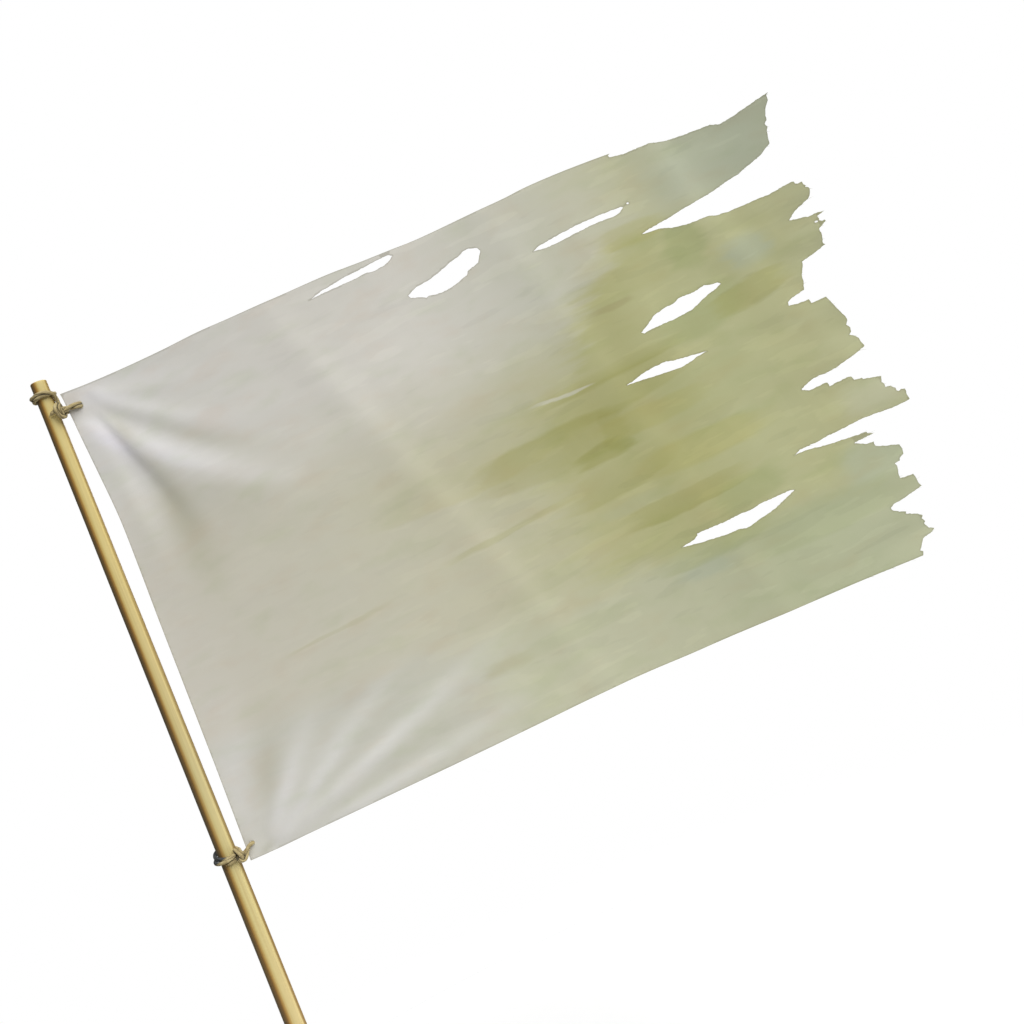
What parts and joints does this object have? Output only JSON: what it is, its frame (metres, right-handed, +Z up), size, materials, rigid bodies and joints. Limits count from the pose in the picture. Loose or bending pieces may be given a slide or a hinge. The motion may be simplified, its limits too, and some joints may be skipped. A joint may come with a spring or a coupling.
{
  "type": "tattered flag on a wooden pole",
  "caption": "Oblong cloth flag with a torn, frayed fly edge and long rips, laced at its hoist corners by cord ties to a plain round tapering wooden pole.",
  "frame": {"origin": "centre of the flat butt end of the pole", "axes": "+Z up along the pole, +X along the fly from the pole, +Y away from the flag's shown face"},
  "size_m": [0.9746, 0.0381, 1.2],
  "materials": {
    "pole": "smooth turned wood, pale straw to honey brown, rubbed satin",
    "cloth": "plain weave, off-white, weathered, with olive yellow stains that streak along the fly",
    "cord": "dull straw-coloured plant fibre cord with dark grime in its grooves"
  },
  "bodies": {
    "root": {"pole": "pole", "flag": "cloth", "tie_top": "cord", "tie_bottom": "cord"}
  },
  "joints": []
}
